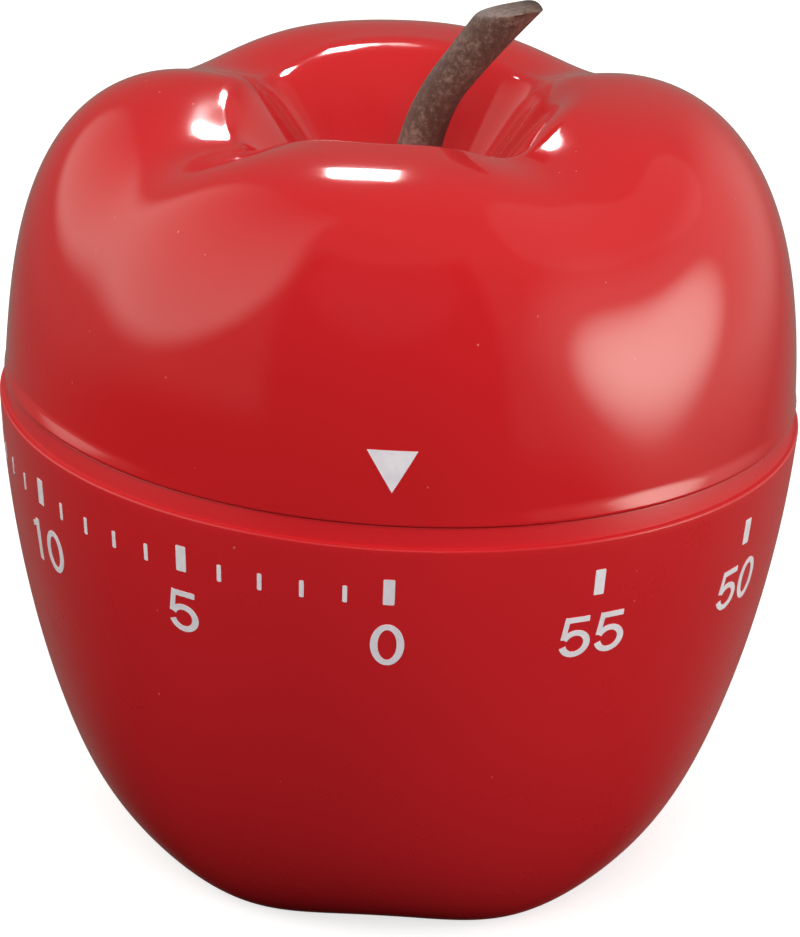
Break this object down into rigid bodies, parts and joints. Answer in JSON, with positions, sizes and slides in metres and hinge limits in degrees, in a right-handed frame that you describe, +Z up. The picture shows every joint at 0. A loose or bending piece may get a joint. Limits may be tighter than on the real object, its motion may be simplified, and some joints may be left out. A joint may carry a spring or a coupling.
{
  "type": "kitchen timer",
  "caption": "Apple-shaped wind-up kitchen timer: upper shell with stem turns as the dial on a lower shell holding a clockwork movement and a bell.",
  "frame": {"origin": "on the table plane, under the main arbor, which is the middle of the seam circle", "axes": "+Z up along the main arbor; the zero mark faces -Y; +X is the viewer's right when facing the zero mark"},
  "size_m": [0.064, 0.064, 0.0717],
  "materials": {
    "gloss_red": "polished moulded",
    "satin_red": "satin moulded",
    "brown": "fine spark-eroded texture",
    "steel": "turned",
    "spring_steel": "blued strip",
    "bell_steel": "plated",
    "brass": "stamped",
    "zinc_plate": "zinc plated"
  },
  "bodies": {
    "base": {"base_shell": "satin_red", "bottom_cover": "satin_red", "cover_screws": "steel", "bottom_plate": "zinc_plate", "top_plate": "zinc_plate", "pillars": "zinc_plate", "movement_screws": "steel", "stop_pin": "steel", "mainspring": "spring_steel", "mainspring_anchor": "steel", "hairspring": "spring_steel", "hairspring_stud": "steel", "bell": "bell_steel", "bell_post": "steel", "bell_nut": "steel", "lever_post": "steel", "lever_spring": "spring_steel", "barrel_arbor": "steel"},
    "dial": {"top_shell": "gloss_red", "stem": "brown", "main_arbor": "steel", "main_wheel": "brass", "ratchet_wheel": "brass", "click": "steel", "click_post": "steel", "alarm_cam": "brass", "stop_disc": "brass"},
    "second": {"second_arbor": "steel", "second_pinion": "steel", "second_wheel": "brass"},
    "third": {"third_arbor": "steel", "third_pinion": "steel", "third_wheel": "brass"},
    "escape": {"escape_arbor": "steel", "escape_pinion": "steel", "escape_wheel": "brass"},
    "pallets": {"pallet_lever": "brass", "pallet_arbor": "steel"},
    "balance": {"balance_wheel": "brass", "balance_staff": "steel", "balance_roller": "brass"},
    "barrel": {"alarm_barrel": "brass", "barrel_lid": "brass", "alarm_spring": "spring_steel"},
    "strike": {"strike_arbor": "steel", "strike_pinion": "steel", "strike_wheel": "brass"},
    "hammer": {"hammer_verge": "brass", "hammer_arbor": "steel", "hammer_arm": "steel", "hammer_head": "steel"},
    "release": {"release_lever": "steel"}
  },
  "joints": [
    {"name": "dial_turn", "type": "hinge", "parent": "base", "child": "dial", "pos_m": [0, 0, 0.03], "axis": [0, 0, 1], "range_deg": [-354, 0]},
    {"name": "second_spin", "type": "hinge", "parent": "base", "child": "second", "pos_m": [-0.00243, 0.01379, 0.024], "axis": [0, 0, 1], "range_deg": [0, 3186]},
    {"name": "third_spin", "type": "hinge", "parent": "base", "child": "third", "pos_m": [-0.01169, 0.00823, 0.021], "axis": [0, 0, 1], "range_deg": [-25488, 0]},
    {"name": "escape_spin", "type": "hinge", "parent": "base", "child": "escape", "pos_m": [-0.01418, 0.00076, 0.018], "axis": [0, 0, 1], "range_deg": [0, 203904]},
    {"name": "pallet_rock", "type": "hinge", "parent": "base", "child": "pallets", "pos_m": [-0.01328, -0.00436, 0.019], "axis": [0, 0, 1], "range_deg": [-5, 5]},
    {"name": "balance_swing", "type": "hinge", "parent": "base", "child": "balance", "pos_m": [-0.01212, -0.01091, 0.024], "axis": [0, 0, 1], "range_deg": [-120, 120], "stiffness_Nm_per_rad": 0.0000045},
    {"name": "barrel_spin", "type": "hinge", "parent": "base", "child": "barrel", "pos_m": [0.01545, -0.00414, 0.02], "axis": [0, 0, 1], "range_deg": [0, 60]},
    {"name": "strike_spin", "type": "hinge", "parent": "base", "child": "strike", "pos_m": [0.01671, 0.00295, 0.024], "axis": [0, 0, 1], "range_deg": [-300, 0]},
    {"name": "hammer_swing", "type": "hinge", "parent": "base", "child": "hammer", "pos_m": [0.01326, 0.00786, 0.02], "axis": [0, 0, 1], "range_deg": [-4, 4]},
    {"name": "release_drop", "type": "hinge", "parent": "base", "child": "release", "pos_m": [0.00295, -0.01674, 0.033], "axis": [0, 0, 1], "range_deg": [0, 9]}
  ],
  "couplings": [
    {"joint": "second_spin", "follows": "dial_turn", "ratio": -9},
    {"joint": "third_spin", "follows": "dial_turn", "ratio": 72},
    {"joint": "escape_spin", "follows": "dial_turn", "ratio": -576},
    {"joint": "strike_spin", "follows": "barrel_spin", "ratio": -5}
  ]
}
